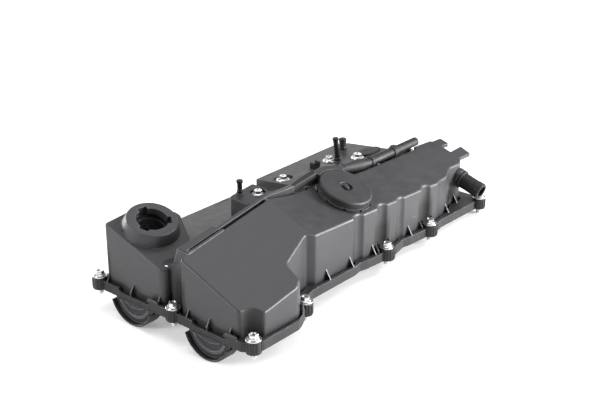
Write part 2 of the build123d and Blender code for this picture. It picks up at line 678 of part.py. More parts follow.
with BuildPart() as bolt_grommets:
    with BuildSketch(Plane.XY.offset(0.6)):
        with Locations(*bolt_pts):
            Circle(6.55)
            Circle(4.3, mode=Mode.SUBTRACT)
    extrude(amount=boss_h - 0.6)
    with BuildSketch(Plane.XY.offset(boss_h)):
        with Locations(*bolt_pts):
            Circle(8.4)
            Circle(4.3, mode=Mode.SUBTRACT)
    extrude(amount=1.0)
    bolt_grommets.part.label = "bolt_grommets"
export_step(bolt_grommets.part, "parts/bolt_grommets.step")

with BuildPart() as bolt_sleeves:
    with BuildSketch():
        with Locations(*bolt_pts):
            Circle(4.25)
            Circle(3.2, mode=Mode.SUBTRACT)
    extrude(amount=washer_z)
    bolt_sleeves.part.label = "bolt_sleeves"
export_step(bolt_sleeves.part, "parts/bolt_sleeves.step")

inner_bolts = Compound(label="inner_bolts", children=[
    bolt_at(px, py, pz + 1.2, -8.0, 11 + 17 * k) for k, (px, py, pz) in enumerate(inner_bolts_pts)])
export_step(inner_bolts, "parts/inner_bolts.step")

with BuildPart() as inner_washers:
    for px, py, pz in inner_bolts_pts:
        with BuildSketch(Plane.XY.offset(pz)):
            with Locations((px, py)):
                Circle(8.8)
                Circle(3.15, mode=Mode.SUBTRACT)
        extrude(amount=1.2)
    inner_washers.part.label = "inner_washers"
export_step(inner_washers.part, "parts/inner_washers.step")

# ---------------------------------------------------------------- studs, pin and clip on the deck
for name, px, py, pz, rf, rn, rh, h in stud_spec:
    lean = Vector(-0.068, 0.080, 0) if name == "rear_ball_stud" else Vector(0, 0, 0)
    up = (Vector(0, 0, 1) + lean).normalized()
    side = up.cross(Vector(0, 1, 0)).normalized()
    with BuildPart() as stud:
        with BuildSketch(Plane(origin=(px, py, pz + 0.9), x_dir=side, z_dir=side.cross(up))):
            with BuildLine():
                Polyline((0, -0.6 if lean.length > 0 else 0), (rf, -0.6 if lean.length > 0 else 0), (rf, 2.6), (rn, 4.2), (rn, h - 4.4), (rh, h - 3.0), (rh, h - 0.9), (rh - 0.9, h), (0, h), close=True)
            make_face()
        revolve(axis=Axis((px, py, pz + 0.9), up))
        if lean.length > 0:
            split(bisect_by=Plane.XY.offset(pz + 0.9), keep=Keep.TOP)
        stud.part.label = name
    export_step(stud.part, f"parts/{name}.step")

with BuildPart() as cable_clip:
    with BuildSketch(Plane(origin=(clip_x, clip_y + 3.6, deck_high(clip_x, clip_y) + 0.9), x_dir=(1, 0, 0), z_dir=(0, -1, 0))):
        with BuildLine():
            Polyline((-6, 0), (6, 0), (6, 3), (6.8, 4.2), (6.8, 7), (5.2, 8.6), (3.6, 7.2), (3.6, 2.6), (-3.6, 2.6), (-3.6, 7.2),
                     (-5.2, 8.6), (-6.8, 7), (-6.8, 4.2), (-6, 3), close=True)
        make_face()
    extrude(amount=7.2)
    cable_clip.part.label = "cable_clip"
export_step(cable_clip.part, "parts/cable_clip.step")

with BuildPart() as deck_cover:
    with BuildSketch(Plane(origin=(182.5, 38.5, deck_high(182.5, 38.5) - 2.98), x_dir=(1, 0, 0.012), z_dir=level(deck_high).z_dir)):
        Ellipse(21.2, 12.2)
    extrude(amount=5.2)
    fillet(deck_cover.faces().sort_by(Axis.Z)[-1].edges(), 1.2)
    deck_cover.part.label = "deck_cover"
export_step(deck_cover.part, "parts/deck_cover.step")

# ---------------------------------------------------------------- breather tube, its adaptor and connector
with BuildPart() as breather_tube:
    with BuildLine(mode=Mode.PRIVATE) as tube_path:
        FilletPolyline(tube_start, *tube_pts[1:], radius=60)
    with BuildSketch(Plane(origin=tube_path.line @ 0, z_dir=tube_path.line % 0)):
        Circle(tube_r)
        Circle(tube_r - 1.4, mode=Mode.SUBTRACT)
    sweep(path=tube_path.line)
    breather_tube.part.label = "breather_tube"
export_step(breather_tube.part, "parts/breather_tube.step")

tube_dirs = [(Vector(*tube_pts[k + 1]) - Vector(*tube_pts[k])).normalized() for k in range(3)]
end_plane = Plane(origin=Vector(*tube_pts[3]) - tube_dirs[2] * 4.0, z_dir=tube_dirs[2])
with BuildPart() as tube_end_plug:
    with BuildSketch(end_plane):
        Circle(tube_r - 1.42)
    extrude(amount=4.04)
    with BuildSketch(end_plane.offset(4.02)):
        Circle(tube_r)
    extrude(amount=2.2)
    fillet(tube_end_plug.edges().filter_by(GeomType.CIRCLE).sort_by(Axis.X)[-1], 1.4)
    tube_end_plug.part.label = "tube_end_plug"
export_step(tube_end_plug.part, "parts/tube_end_plug.step")

with BuildPart() as tube_collars:
    for k, w in enumerate((5.0, 9.0)):
        d = tube_dirs[k + 1]
        c = Vector(*tube_pts[k + 1]) + d * (4.5 if k == 0 else 6.0)
        with BuildSketch(Plane(origin=c, z_dir=d)):
            Circle(tube_r + 1.3)
            Circle(tube_r + 0.02, mode=Mode.SUBTRACT)
        extrude(amount=w)
    chamfer(tube_collars.edges().filter_by(GeomType.CIRCLE).filter_by(lambda e: e.radius > tube_r + 1.2), 0.5)
    tube_collars.part.label = "tube_collars"
export_step(tube_collars.part, "parts/tube_collars.step")



def duct_face(angle, side):
    """Plane just clear of the passage's end face at that angle round the valve axis."""
    t = Vector(-sin(radians(angle)), cos(radians(angle)), 0)
    w = (valve_sketch_plane.from_local_coords(t) - valve_sketch_plane.origin) * side
    return Plane(origin=valve_sketch_plane.origin + w * 0.05, z_dir=w)


with BuildPart() as dome_room:
    with BuildSketch(Plane.XY.offset(60)):
        offset(dome_plan.sketch, amount=0.05)
    extrude(amount=70)
    split(bisect_by=level(z_rear, -0.06), keep=Keep.BOTTOM)
with BuildPart() as housing_room:
    with BuildSketch(valve_plane.offset(-10)):
        Circle(cap_r + 0.3)
    extrude(amount=50)
cone_a = Vector(*tube_pts[0]) + tube_dirs[0] * 4
with BuildPart() as tube_adaptor:
    with BuildSketch(Plane.XY.offset(88.8)):
        with BuildLine():
            Polyline((30.0, -31.0), (30.0, -21.6), (35.0, -18.8), (44.0, -15.4), (51.0, -17.0), (53.0, -24.6), (44.0, -29.6), close=True)
        make_face()
    extrude(amount=14.0)
    fillet(tube_adaptor.faces().sort_by(Axis.Z)[-1].edges(), 2.0)
    with BuildSketch(Plane(origin=cone_a, z_dir=tube_dirs[0])):
        Circle(5.2)
    with BuildSketch(Plane(origin=cone_a + tube_dirs[0] * 25, z_dir=tube_dirs[0])):
        Circle(7.3)
    loft()
    with BuildSketch(Plane(origin=cone_a + tube_dirs[0] * 24.9, z_dir=tube_dirs[0])):
        Circle(7.3)
    extrude(amount=14.0)
    add(dome_room.part, mode=Mode.SUBTRACT)
    add(housing_room.part, mode=Mode.SUBTRACT)
    split(bisect_by=duct_face(48, -1), keep=Keep.TOP)
    with BuildSketch(Plane(origin=tube_start - tube_dirs[0] * 0.03, z_dir=tube_dirs[0])):
        Circle(tube_r + 0.02)
    extrude(amount=30, mode=Mode.SUBTRACT)
    with BuildSketch(Plane(origin=Vector(*tube_pts[0]) - tube_dirs[0] * 5, z_dir=tube_dirs[0])):
        Circle(3.4)
    extrude(amount=40, mode=Mode.SUBTRACT)
    tube_adaptor.part.label = "tube_adaptor"
print("adaptor", tube_adaptor.part.volume, tube_adaptor.part.is_valid, len(tube_adaptor.part.solids()))
export_step(tube_adaptor.part, "parts/tube_adaptor.step")

with BuildPart() as connector_hose:
    with BuildSketch():
        with BuildLine():
            Polyline((-45.9, -22.2), (-45.9, -15.8), (-30, -14.8), (-12.0, -16.0), (-4.0, -19.0), (-4.0, -25.4), (-12.0, -25.6), close=True)
        make_face()
    extrude(amount=130)
    split(bisect_by=level(lambda x, y: 95.0 + 0.06 * (x + 46)), keep=Keep.TOP)
    split(bisect_by=level(lambda x, y: 103.2 + 0.20 * (x + 46)), keep=Keep.BOTTOM)
    fillet(connector_hose.edges().filter_by(lambda e: abs((e % 0.5).X) > 0.9), 1.8)
    split(bisect_by=duct_face(118, 1), keep=Keep.TOP)
    add(dome_room.part, mode=Mode.SUBTRACT)
    add(housing_room.part, mode=Mode.SUBTRACT)
    connector_hose.part.label = "connector_hose"
print("hose", connector_hose.part.volume, connector_hose.part.is_valid, len(connector_hose.part.solids()))
export_step(connector_hose.part, "parts/connector_hose.step")

with BuildPart() as ridge_seal:
    with BuildSketch(Plane.XZ.offset(17.32)):
        with BuildLine():
            Polyline((-219.9, 117.6 - 0.17 * 219.9 - 4.45), (-175.2, 117.6 - 0.17 * 175.2 - 4.45), (-175.2, 117.6 - 0.17 * 175.2 - 2.8),
                     (-219.9, 117.6 - 0.17 * 219.9 - 2.8), close=True)
        make_face()
    extrude(amount=3.22)
    ridge_seal.part.label = "ridge_seal"
export_step(ridge_seal.part, "parts/ridge_seal.step")

# ---------------------------------------------------------------- crankcase pressure valve
def turned(name, *pts):
    """A piece turned about the valve axis from points (radius, height above the panel)."""
    with BuildPart() as piece:
        with BuildSketch(Plane(origin=valve_plane.origin, x_dir=valve_sketch_plane.x_dir, z_dir=-valve_sketch_plane.y_dir)):
            with BuildLine():
                Polyline(*pts, close=True)
            make_face()
        revolve(axis=Axis(valve_plane.origin, valve_plane.z_dir))
        piece.part.label = name
    return piece.part


cap_body = turned("valve_cap", (31.25, 2.02), (32.6, 2.02), (32.6, 0.06), (cap_r, 0.06), (cap_r, 10.4), (cap_r - 1.6, 12.0), (8.5, 12.0), (7.8, 11.3), (7.4, 9.0),
                  (0, 9.0), (0, 6.4), (9.6, 6.4), (10.2, 7.0), (10.6, 9.2), (27.0, 9.2), (27.0, 3.04), (31.25, 3.04))
with BuildPart() as valve_cap:
    add(cap_body)
    # oblong button in the middle of the recess
    with BuildSketch(valve_sketch_plane.offset(8.6)):
        SlotOverall(10.4, 5.8, rotation=button_angle)
    extrude(amount=3.6)
    with BuildSketch(valve_sketch_plane.offset(12.2)):
        SlotOverall(8.8, 4.2, rotation=button_angle)
    extrude(amount=0.7)
    # foot flange on the near side, with clip notches
    with BuildSketch(valve_sketch_plane.offset(0.06)):
        Circle(cap_r + 2.6)
        Circle(cap_r - 0.5, mode=Mode.SUBTRACT)
        with BuildLine():
            Polyline((0, 0), (60 * cos(radians(132)), 60 * sin(radians(132))), (-60, 0), (0, -80), (60, 0), (60 * cos(radians(22)), 60 * sin(radians(22))), close=True)
        make_face(mode=Mode.INTERSECT)
    extrude(amount=3.2)
    for ca in (152, 187, 222, 257, 292, 327, 2):
        with BuildSketch(valve_sketch_plane.offset(0.0)):
            with Locations((35.6 * cos(radians(ca)), 35.6 * sin(radians(ca)))):
                Rectangle(2.6, 4.6, rotation=ca)
        extrude(amount=6.0, mode=Mode.SUBTRACT)
    valve_cap.part.label = "valve_cap"
export_step(valve_cap.part, "parts/valve_cap.step")

export_step(turned("valve_diaphragm", (31.2, 2.04), (31.2, 3.0), (26.8, 3.0), (25.4, 4.6), (23.6, 5.4), (21.6, 5.0), (20.0, 3.6), (17.0, 2.0), (13.0, 1.98),
                   (3.1, 1.98), (3.1, 1.14), (13.0, 1.14), (17.4, 1.14), (20.6, 2.9), (22.0, 4.2), (23.6, 4.5), (24.8, 3.9), (26.4, 2.04)),
            "parts/valve_diaphragm.step")
export_step(turned("valve_plate", (3.1, -0.5), (13.0, -0.5), (13.4, -0.1), (13.4, 1.1), (3.1, 1.1)), "parts/valve_plate.step")
export_step(turned("valve_hub", (0, -1.4), (4.4, -1.4), (4.4, -0.52), (3.06, -0.52), (3.06, 2.0), (7.6, 2.0), (7.6, 3.0), (6.6, 3.8), (0, 3.8)), "parts/valve_hub.step")

spring_lo, spring_hi, spring_r, wire_r, turns_n = valve_floor + 0.05, -0.55, 10.6, 0.6, 4.5
with BuildPart() as valve_spring:
    with BuildLine() as coil:
        Helix(pitch=(spring_hi - spring_lo - 2 * wire_r) / turns_n, height=spring_hi - spring_lo - 2 * wire_r, radius=spring_r,
              center=valve_sketch_plane.from_local_coords(Vector(0, 0, spring_lo + wire_r)), direction=valve_sketch_plane.z_dir)
    with BuildSketch(Plane(origin=coil.line @ 0, z_dir=coil.line % 0)):
        Circle(wire_r)
    sweep(path=coil.line, is_frenet=True)
    valve_spring.part.label = "valve_spring"
print("spring", valve_spring.part.volume, valve_spring.part.is_valid)
export_step(valve_spring.part, "parts/valve_spring.step")

# ---------------------------------------------------------------- breather nipple in the rear wall
def bored(label, *pts):
    with BuildPart() as piece:
        with BuildSketch(Plane(origin=pipe_plane.origin, x_dir=(1, 0, 0), z_dir=-pipe_plane.y_dir)):
            with BuildLine():
                Polyline(*pts, close=True)
            make_face()
        revolve(axis=Axis(pipe_plane.origin, pipe_dir))
        piece.part.label = label
    return piece.part


breather_nipple = bored("breather_nipple", (6.4, -5.0), (8.96, -5.0), (8.96, 6.72), (12.4, 6.72), (12.4, 8.6), (10.5, 9.4), (10.5, 29.5), (11.1, 30.5), (11.1, 38.0),
                        (10.2, 40.0), (7.6, 40.0), (7.4, 6.0), (6.4, 2.0))
export_step(breather_nipple, "parts/breather_nipple.step")
export_step(bored("nipple_seal", (9.0, 5.02), (11.8, 5.02), (11.8, 6.7), (9.0, 6.7)), "parts/nipple_seal.step")

# ---------------------------------------------------------------- oil separator baffle under the dome
baffle_pts = [(-222.0, -34.0), (-222.0, -98.0), (-170.0, -98.0), (-152.0, -88.0), (-120.0, -74.0), (-20.0, -80.0), (30.0, -78.0),
              (60.0, -80.0), (140.0, -78.0), (180.0, -72.0), (226.0, -66.0), (226.0, -36.0)]
with BuildPart() as separator_baffle:
    with BuildSketch(Plane.XY.offset(baffle_z)):
        with BuildLine():
            Polyline(*baffle_pts, close=True)
        make_face()
    extrude(amount=2.45)
    with BuildSketch(Plane.XY.offset(baffle_z)):
        with Locations(*pillars):
            Circle(1.9)
        with Locations(*[(x, -54) for x in (-175, -160, -145, -90, -75, 100, 115, 165, 180)]):
            SlotOverall(26, 4, rotation=90)
    extrude(amount=2.45, mode=Mode.SUBTRACT)
    with BuildSketch(Plane.XY.offset(baffle_z - 9)):
        with Locations((15, -60)):
            RectangleRounded(60, 26, 4)
            RectangleRounded(55, 21, 2, mode=Mode.SUBTRACT)
    extrude(amount=9)
    separator_baffle.part.label = "separator_baffle"
print("baffle", separator_baffle.part.volume, len(separator_baffle.part.solids()))
export_step(separator_baffle.part, "parts/separator_baffle.step")

screws = []
for px, py in pillars:
    with BuildPart() as screw:
        with BuildSketch(Plane(origin=(px, py, 0), x_dir=(1, 0, 0), z_dir=(0, -1, 0))):
            with BuildLine():
                Polyline((0, baffle_z - 2.6), (2.4, baffle_z - 2.6), (3.6, baffle_z - 1.6), (3.6, baffle_z - 0.02), (1.55, baffle_z - 0.02), (1.55, baffle_z + 9), (0.6, baffle_z + 11),
                         (0, baffle_z + 11), close=True)
            make_face()
        revolve(axis=Axis((px, py, 0), (0, 0, 1)))
        with BuildSketch(Plane.XY.offset(baffle_z - 2.6)):
            with Locations((px, py)):
                RegularPolygon(1.4, 6)
        extrude(amount=1.3, mode=Mode.SUBTRACT)
    screws.append(screw.part)
baffle_screws = Compound(label="baffle_screws", children=screws)
export_step(baffle_screws, "parts/baffle_screws.step")
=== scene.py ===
import bpy
import bmesh
import json
import random
from math import sin, cos, pi, radians, atan2, sqrt
from mathutils import Vector, Matrix


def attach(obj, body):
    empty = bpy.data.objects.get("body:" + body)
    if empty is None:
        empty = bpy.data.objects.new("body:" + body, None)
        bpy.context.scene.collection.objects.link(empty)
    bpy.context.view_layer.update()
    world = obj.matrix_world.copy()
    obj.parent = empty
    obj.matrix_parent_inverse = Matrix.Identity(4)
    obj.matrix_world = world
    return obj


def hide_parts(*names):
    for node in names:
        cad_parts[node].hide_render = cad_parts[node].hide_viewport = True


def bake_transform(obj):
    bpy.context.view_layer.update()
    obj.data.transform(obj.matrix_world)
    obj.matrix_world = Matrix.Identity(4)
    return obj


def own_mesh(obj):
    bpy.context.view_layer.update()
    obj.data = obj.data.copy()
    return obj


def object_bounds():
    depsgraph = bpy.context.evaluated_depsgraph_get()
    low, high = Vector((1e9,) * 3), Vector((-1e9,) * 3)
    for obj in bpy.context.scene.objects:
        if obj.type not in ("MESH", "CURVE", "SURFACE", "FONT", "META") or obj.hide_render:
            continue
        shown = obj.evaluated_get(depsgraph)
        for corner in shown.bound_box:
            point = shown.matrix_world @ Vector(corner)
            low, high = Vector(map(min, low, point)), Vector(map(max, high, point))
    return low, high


random.seed(7)
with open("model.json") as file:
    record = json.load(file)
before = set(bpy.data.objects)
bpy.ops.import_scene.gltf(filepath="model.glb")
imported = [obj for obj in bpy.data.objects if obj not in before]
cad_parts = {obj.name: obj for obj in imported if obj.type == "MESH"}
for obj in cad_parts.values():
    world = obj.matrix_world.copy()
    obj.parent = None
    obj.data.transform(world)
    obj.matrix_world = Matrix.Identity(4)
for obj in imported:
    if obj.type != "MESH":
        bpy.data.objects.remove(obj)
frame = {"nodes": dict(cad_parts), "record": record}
cad_box = [list(map(float, c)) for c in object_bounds()]
scene = bpy.context.scene
nodes = frame["nodes"]

# ------------------------------------------------------------------ camera, at the photograph's viewing angle
cam_data = bpy.data.cameras.new("cam")
cam = bpy.data.objects.new("cam", cam_data)
scene.collection.objects.link(cam)
cam_data.sensor_width = 36.0
cam_data.lens = 69.0
cam_data.clip_start = 0.05
cam_data.clip_end = 30.0
look = Vector((0.7010, 0.5966, -0.3907)).normalized()
cam.location = (-1.0068, -0.8495, 0.6234)
cam.rotation_euler = look.to_track_quat("-Z", "Y").to_euler()
scene.camera = cam


# plan positions of the bolts (mm)
BOLTS = [(-239.9, 111.4), (-238.7, -11.2), (-233.4, -126.9), (-133.3, -113.7), (40.7, -98.4),
            (134.0, -98.4), (250.5, -99.5), (-130.0, 117.5), (-40.0, 117.5), (50.0, 117.5),
            (140.0, 117.5), (221.0, 107.0), (228.0, 34.0)]
INNER = [(-62.0, 21.5), (44.0, 74.0), (127.0, 63.5), (153.0, 35.5)]


# ------------------------------------------------------------------ node helpers
class Tree:
    """A material's node tree, with short calls for the nodes used here."""

    def __init__(self, name):
        self.mat = bpy.data.materials.new(name)
        self.mat.use_nodes = True
        self.t = self.mat.node_tree
        self.bsdf = self.t.nodes["Principled BSDF"]
        self.co = self.t.nodes.new("ShaderNodeTexCoord").outputs["Object"]
        self.geo = self.t.nodes.new("ShaderNodeNewGeometry")

    def link(self, a, b):
        self.t.links.new(a, b)

    def node(self, kind, **sets):
        n = self.t.nodes.new(kind)
        for k, v in sets.items():
            setattr(n, k, v)
        return n

    def put(self, sock, v):
        if isinstance(v, bpy.types.NodeSocket):
            self.link(v, sock)
        elif isinstance(v, (tuple, list)):
            sock.default_value = tuple(v) if len(v) != 3 or len(sock.default_value) == 3 else tuple(v) + (1.0,)
        else:
            sock.default_value = v

    def math(self, op, a, b=None, c=None, clamp=False):
        n = self.node("ShaderNodeMath", operation=op, use_clamp=clamp)
        for k, v in enumerate((a, b, c)):
            if v is not None:
                self.put(n.inputs[k], v)
        return n.outputs[0]

    def scaled(self, sx, sy, sz, rot=(0, 0, 0), vec=None):
        n = self.node("ShaderNodeMapping")
        self.link(vec or self.co, n.inputs["Vector"])
        n.inputs["Scale"].default_value = (sx, sy, sz)
        n.inputs["Rotation"].default_value = rot
        return n.outputs[0]

    def noise(self, scale, detail=3.0, rough=0.55, vec=None, distort=0.0):
        n = self.node("ShaderNodeTexNoise")
        self.link(vec or self.co, n.inputs["Vector"])
        n.inputs["Scale"].default_value = scale
        n.inputs["Detail"].default_value = detail
        n.inputs["Roughness"].default_value = rough
        n.inputs["Distortion"].default_value = distort
        return n.outputs["Fac"]

    def voronoi(self, scale, vec=None, feature="F1"):
        n = self.node("ShaderNodeTexVoronoi", feature=feature)
        self.link(vec or self.co, n.inputs["Vector"])
        n.inputs["Scale"].default_value = scale
        return n.outputs["Distance"]

    def ramp(self, fac, lo, hi, a=0.0, b=1.0):
        """fac from lo..hi to a..b, clamped."""
        n = self.node("ShaderNodeMapRange")
        n.clamp = True
        self.put(n.inputs["Value"], fac)
        n.inputs["From Min"].default_value = lo
        n.inputs["From Max"].default_value = hi
        n.inputs["To Min"].default_value = a
        n.inputs["To Max"].default_value = b
        return n.outputs["Result"]

    def mix(self, fac, a, b):
        n = self.node("ShaderNodeMix", data_type="RGBA")
        self.put(n.inputs["Factor"], fac)
        self.put(n.inputs[6], a)
        self.put(n.inputs[7], b)
        return n.outputs[2]

    def bump(self, height, strength, distance, normal=None):
        n = self.node("ShaderNodeBump")
        self.put(n.inputs["Height"], height)
        n.inputs["Strength"].default_value = strength
        n.inputs["Distance"].default_value = distance
        if normal is not None:
            self.link(normal, n.inputs["Normal"])
        return n.outputs["Normal"]

    def bevel(self, radius, samples=6):
        n = self.node("ShaderNodeBevel", samples=samples)
        n.inputs["Radius"].default_value = radius
        return n.outputs["Normal"]

    def edge(self, radius, lo=0.02, hi=0.22):
        """1 on convex and concave edges within radius, 0 on flats."""
        d = self.node("ShaderNodeVectorMath", operation="DOT_PRODUCT")
        self.link(self.bevel(radius, 4), d.inputs[0])
        self.link(self.geo.outputs["Normal"], d.inputs[1])
        return self.ramp(d.outputs["Value"], 1.0 - lo, 1.0 - hi)

    def recess(self, distance, lo=0.45, hi=0.92):
        """1 in tight corners and recesses, 0 on open faces."""
        n = self.node("ShaderNodeAmbientOcclusion", samples=8, only_local=True)
        n.inputs["Distance"].default_value = distance
        return self.ramp(n.outputs["AO"], lo, hi, 1.0, 0.0)

    def xyz(self, sock=None):
        n = self.node("ShaderNodeSeparateXYZ")
        self.link(sock or self.co, n.inputs[0])
        return n.outputs

    def done(self, color, rough, normal, **consts):
        self.put(self.bsdf.inputs["Base Color"], color)
        self.put(self.bsdf.inputs["Roughness"], rough)
        if normal is not None:
            self.link(normal, self.bsdf.inputs["Normal"])
        for k, v in consts.items():
            self.bsdf.inputs[k.replace("_", " ")].default_value = v
        return self.mat


def moulded(name, dark, light, rough=0.42, grain=1.0, wear_and_highlight=0.5, bevel=0.0005, rail=False, spec=0.5, streak=(2.2, 30, 30), painted_shade=0.5, cap=False):
    """Glass-filled moulded plastic: soft mottling, fibre flecks, flow streaks, a fine spark-eroded grain and rubbed
    edges, with painted highlights on the edges, painted shade in corners and recesses, and on the shell and lid painted
    light and shade by place and facing.
    """
    t = Tree(name)
    big = t.noise(11.0, 3.0, 0.55)
    mid = t.noise(85.0, 5.0, 0.6)
    flow = t.noise(3.0, 4.0, 0.6, vec=t.scaled(*streak), distort=0.6)
    fleck = t.ramp(t.voronoi(1500.0, vec=t.scaled(0.55, 1.0, 1.0)), 0.0, 0.20, 1.0, 0.0)
    fleck = t.math("MULTIPLY", fleck, t.ramp(t.noise(420.0, 2.0), 0.52, 0.72))
    tone = t.math("ADD", t.math("MULTIPLY", big, 0.45), t.math("MULTIPLY", mid, 0.30))
    tone = t.math("ADD", tone, t.math("MULTIPLY", flow, 0.25))
    tone = t.ramp(tone, 0.34, 0.66)
    col = t.mix(tone, dark, light)
    col = t.mix(t.math("MULTIPLY", fleck, 0.35), col, tuple(min(1, 2.6 * c) for c in light))
    r = t.math("ADD", t.ramp(mid, 0.3, 0.7, rough - 0.05, rough + 0.06), t.ramp(big, 0.3, 0.7, -0.03, 0.03))
    fine = t.noise(1500.0, 2.0, 0.7)
    cell = t.voronoi(950.0)
    if rail:
        # the outer face of the flange rail is coarser and paler
        x, y, z = t.xyz()
        nx, ny, nz = t.xyz(t.geo.outputs["True Normal"])
        low = t.ramp(z, 0.0117, 0.0122, 1.0, 0.0)
        side = t.ramp(t.math("ABSOLUTE", nz), 0.25, 0.45, 1.0, 0.0)
        # painted shade: the bosses round the bolts, the floor of the gutter and a band on the side faces just above the
        # rail are painted near-black, where shade falls
        near = None
        for bx, by in BOLTS:
            d = t.math("POWER", t.math("SUBTRACT", x, bx / 1000), 2.0)
            d = t.math("SQRT", t.math("ADD", d, t.math("POWER", t.math("SUBTRACT", y, by / 1000), 2.0)))
            near = d if near is None else t.math("MINIMUM", near, d)
        boss = t.math("MULTIPLY", t.ramp(near, 0.0107, 0.0111, 1.0, 0.0), t.ramp(z, 0.0146, 0.0152, 1.0, 0.0))
        floor = t.math("MULTIPLY", t.ramp(nz, 0.85, 0.95), t.math("MULTIPLY", t.ramp(z, 0.0056, 0.0058), t.ramp(z, 0.0064, 0.0066, 1.0, 0.0)))
        band = t.math("MULTIPLY", t.ramp(z, 0.0117, 0.0120), t.ramp(z, 0.0134, 0.0142, 1.0, 0.0))
        band = t.math("MULTIPLY", band, side)
        gutter_boss_shade = t.math("MAXIMUM", t.math("MAXIMUM", boss, floor), band)
        col = t.mix(t.math("MULTIPLY", gutter_boss_shade, 0.90), col, (0.004, 0.004, 0.0044, 1))
        m = t.math("MULTIPLY", t.math("MULTIPLY", low, side), t.math("SUBTRACT", 1.0, boss))
        speck = t.ramp(t.noise(520.0, 4.0, 0.75), 0.36, 0.66)
        m2 = t.math("MULTIPLY", m, t.ramp(speck, 0.0, 1.0, 0.25, 1.0))
        col = t.mix(m2, col, (0.011, 0.011, 0.0116, 1))
        r = t.math("ADD", r, t.math("MULTIPLY", m, 0.36))
        # the walls stand back behind the bolts; painted shade: those pockets are painted near-black where shade falls,
        # and made rougher
        pocket_shade = t.math("MULTIPLY", t.ramp(near, 0.0150, 0.0195, 1.0, 0.0), t.math("MULTIPLY", t.ramp(z, 0.0150, 0.0158), t.ramp(z, 0.038, 0.062, 1.0, 0.0)))
        col = t.mix(t.math("MULTIPLY", pocket_shade, 0.85), col, (0.004, 0.004, 0.0044, 1))
        r = t.math("ADD", r, t.math("MULTIPLY", pocket_shade, 0.34))
        # painted light: upward faces within about 20 mm of the filler neck's axis and below 66 mm, the floor seen down
        # its bore, are painted pale grey so they read as lit
        dn = t.math("POWER", t.math("ADD", x, 0.1984), 2.0)
        dn = t.math("SQRT", t.math("ADD", dn, t.math("POWER", t.math("SUBTRACT", y, 0.0647), 2.0)))
        neck_floor_light = t.math("MULTIPLY", t.ramp(dn, 0.0190, 0.0205, 1.0, 0.0), t.math("MULTIPLY", t.ramp(z, 0.062, 0.066, 1.0, 0.0), t.ramp(nz, 0.6, 0.9)))
        col = t.mix(neck_floor_light, col, (0.42, 0.41, 0.40, 1))
        grain_h = t.math("ADD", t.math("MULTIPLY", fine, 0.6), t.math("MULTIPLY", t.math("MULTIPLY", speck, m), 3.0))
    else:
        grain_h = fine
    if cap:
        # painted shade: faces of the lid that tilt away from upward, its side, are painted near-black, blacker than its
        # smooth top, and made a little rougher
        side = t.ramp(t.xyz(t.geo.outputs["True Normal"])[2], 0.55, 0.80, 1.0, 0.0)
        col = t.mix(t.math("MULTIPLY", side, 0.85), col, (0.004, 0.004, 0.0045, 1))
        r = t.math("ADD", r, t.math("MULTIPLY", side, 0.10))
    if painted_shade > 0:
        # painted shade: colour darkened by ambient occlusion in corners, flutes and grooves, where shade falls, and
        # made a little rougher there
        g = t.math("MULTIPLY", t.recess(0.030, 0.42, 0.93), t.ramp(t.noise(60.0, 4.0, 0.6), 0.3, 0.7, 0.75, 1.0))
        g = t.math("MULTIPLY", g, painted_shade)
        col = t.mix(g, col, tuple(0.22 * c for c in dark))
        r = t.math("ADD", r, t.math("MULTIPLY", g, 0.12))
    if wear_and_highlight > 0:
        # rubbed edges, partly real wear and partly painted highlight: edges within the bevel radius are painted pale,
        # up to 5.8 times the light tone, standing in for highlights on the fillets
        e = t.math("MULTIPLY", t.edge(bevel * 1.5), t.ramp(t.noise(130.0, 4.0, 0.65), 0.38, 0.62, 0.25, 1.0))
        e = t.math("MULTIPLY", e, wear_and_highlight)
        if rail:
            # thin ribs low down get less of the painted edge highlight and rubbing than the edges of the panels, the
            # rail's lip gets more
            lip = t.math("MULTIPLY", t.ramp(z, 0.0104, 0.0108), t.ramp(z, 0.0120, 0.0124, 1.0, 0.0))
            e = t.math("MULTIPLY", e, t.math("MAXIMUM", t.ramp(z, 0.020, 0.030, 0.30, 1.0), t.math("MULTIPLY", lip, 1.3)))
            # painted highlight: edges on the raised arcs of the half-moons and on the front end of the spine strip are
            # painted bright, and the arcs' proud front faces paler
            arcs = t.ramp(z, -0.0012, -0.0006, 1.0, 0.0)
            spine = t.math("MULTIPLY", t.ramp(x, -0.222, -0.214, 1.0, 0.0), t.math("MULTIPLY", t.ramp(z, 0.060, 0.066), t.math("MULTIPLY", t.ramp(y, -0.036, -0.033), t.ramp(y, 0.004, 0.008, 1.0, 0.0))))
            arc_spine_highlight = t.math("MAXIMUM", arcs, spine)
            e = t.math("ADD", e, t.math("MULTIPLY", t.edge(0.0020, 0.01, 0.14), t.math("MULTIPLY", arc_spine_highlight, 0.95)), clamp=True)
            proud = t.math("MULTIPLY", arcs, t.ramp(x, -0.24385, -0.24365, 1.0, 0.0))
            e = t.math("ADD", e, t.math("MULTIPLY", proud, 0.42), clamp=True)
        col = t.mix(e, col, tuple(min(1, 5.8 * c) for c in light))
        r = t.math("SUBTRACT", r, t.math("MULTIPLY", e, 0.10))
    n0 = t.bevel(bevel, 6)
    if rail:
        t.link(t.ramp(z, 0.020, 0.030, 0.00035, bevel), n0.node.inputs["Radius"])
    n1 = t.bump(big, 0.10, 0.004, n0)
    n2 = t.bump(t.math("ADD", grain_h, t.math("MULTIPLY", cell, 0.5)), 0.16 * grain, 0.00025, n1)
    return t.done(col, r, n2, Specular_IOR_Level=spec)


